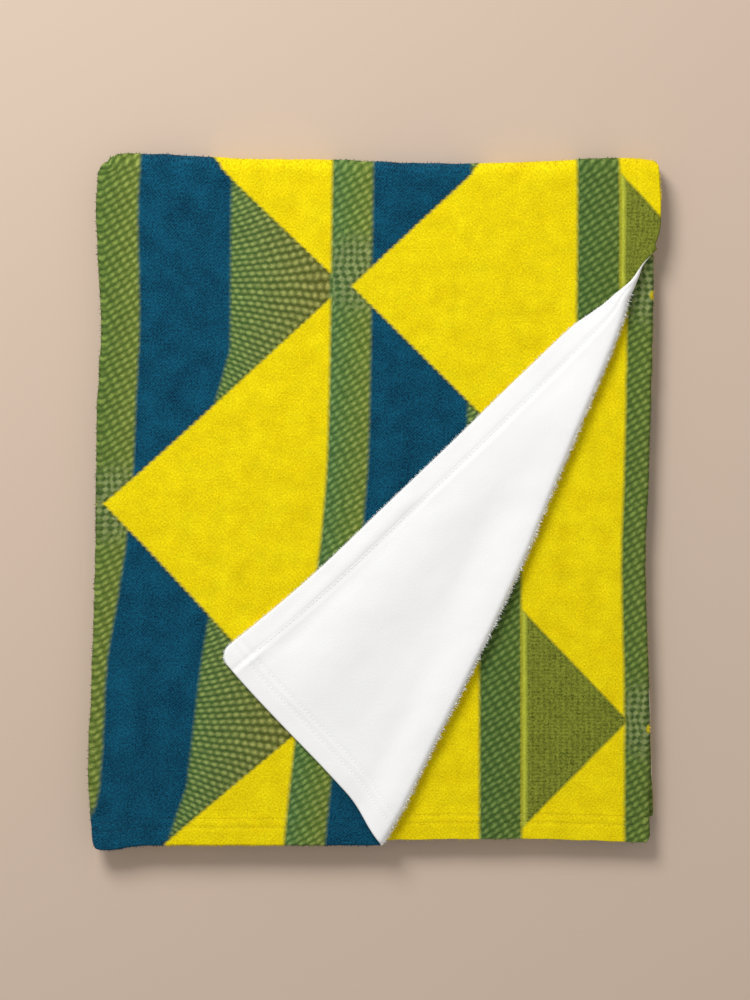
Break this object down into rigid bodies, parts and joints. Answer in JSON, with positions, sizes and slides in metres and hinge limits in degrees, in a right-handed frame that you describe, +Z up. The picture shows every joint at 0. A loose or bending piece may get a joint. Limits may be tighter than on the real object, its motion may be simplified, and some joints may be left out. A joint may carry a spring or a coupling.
{
  "type": "folded throw blanket in basotho style",
  "caption": "Printed plush throw, folded in three and then in half into a flat stack, with one corner of its top layer turned back to show the white reverse.",
  "frame": {"origin": "middle of the box around the folded blanket, on the surface that it lies on", "axes": "+X to the right, across the three folded panels; +Y away from the hems, towards the fold in half; +Z up"},
  "size_m": [0.5332, 0.644, 0.0332],
  "materials": {
    "printed_plush": "short plush pile, printed with green hatched bands and yellow, teal and olive triangles, plain white on its reverse"
  },
  "bodies": {
    "root": {"blanket": "printed_plush"}
  },
  "joints": []
}
